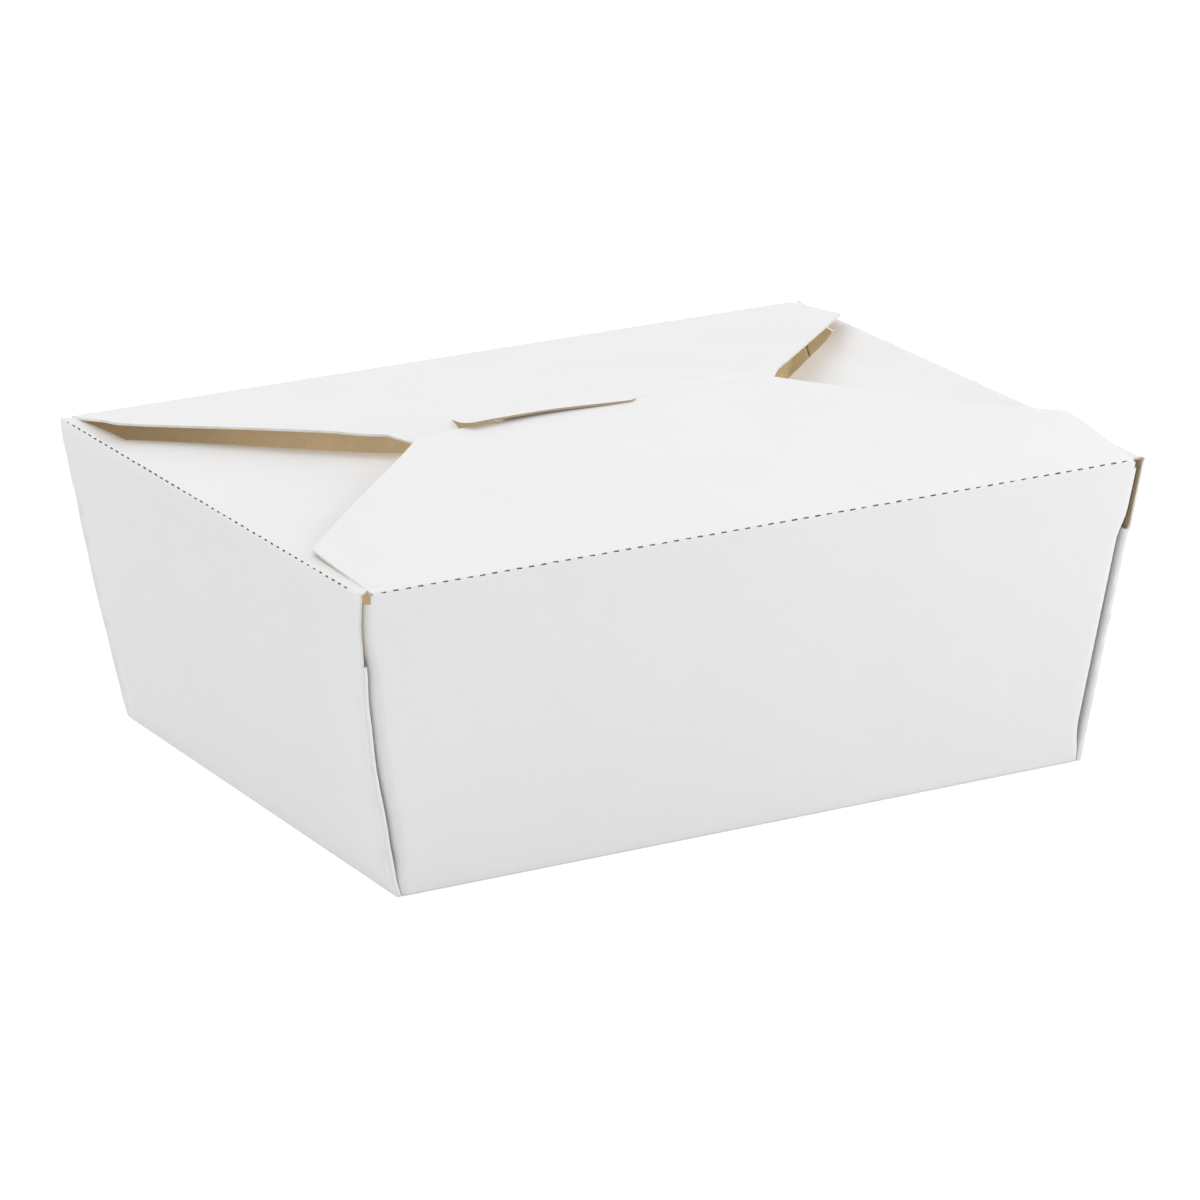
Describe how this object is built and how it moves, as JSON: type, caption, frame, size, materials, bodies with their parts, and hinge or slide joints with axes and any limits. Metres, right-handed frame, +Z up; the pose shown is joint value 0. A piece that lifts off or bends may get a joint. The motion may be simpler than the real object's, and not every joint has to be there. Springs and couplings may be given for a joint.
{
  "type": "takeout food box",
  "caption": "Folded card food box with leaning walls, pleated corners, pointed end flaps and a front flap whose tab locks in a slit of the rear flap.",
  "frame": {"origin": "centre of the floor's outer face, on the surface that the box stands on", "axes": "+Z up, +X to the right along the long front wall, +Y from the front wall to the rear one"},
  "size_m": [0.1714, 0.1334, 0.0711],
  "materials": {
    "card": "white clay-coated face outside, uncoated brown kraft face inside"
  },
  "bodies": {
    "carton": {"carton": "card"},
    "front_flap": {"front_flap": "card"}
  },
  "joints": [
    {"name": "front_flap_hinge", "type": "hinge", "parent": "carton", "child": "front_flap", "pos_m": [0, -0.06675, 0.063], "axis": [1, 0, 0], "range_deg": [0, 180]}
  ]
}
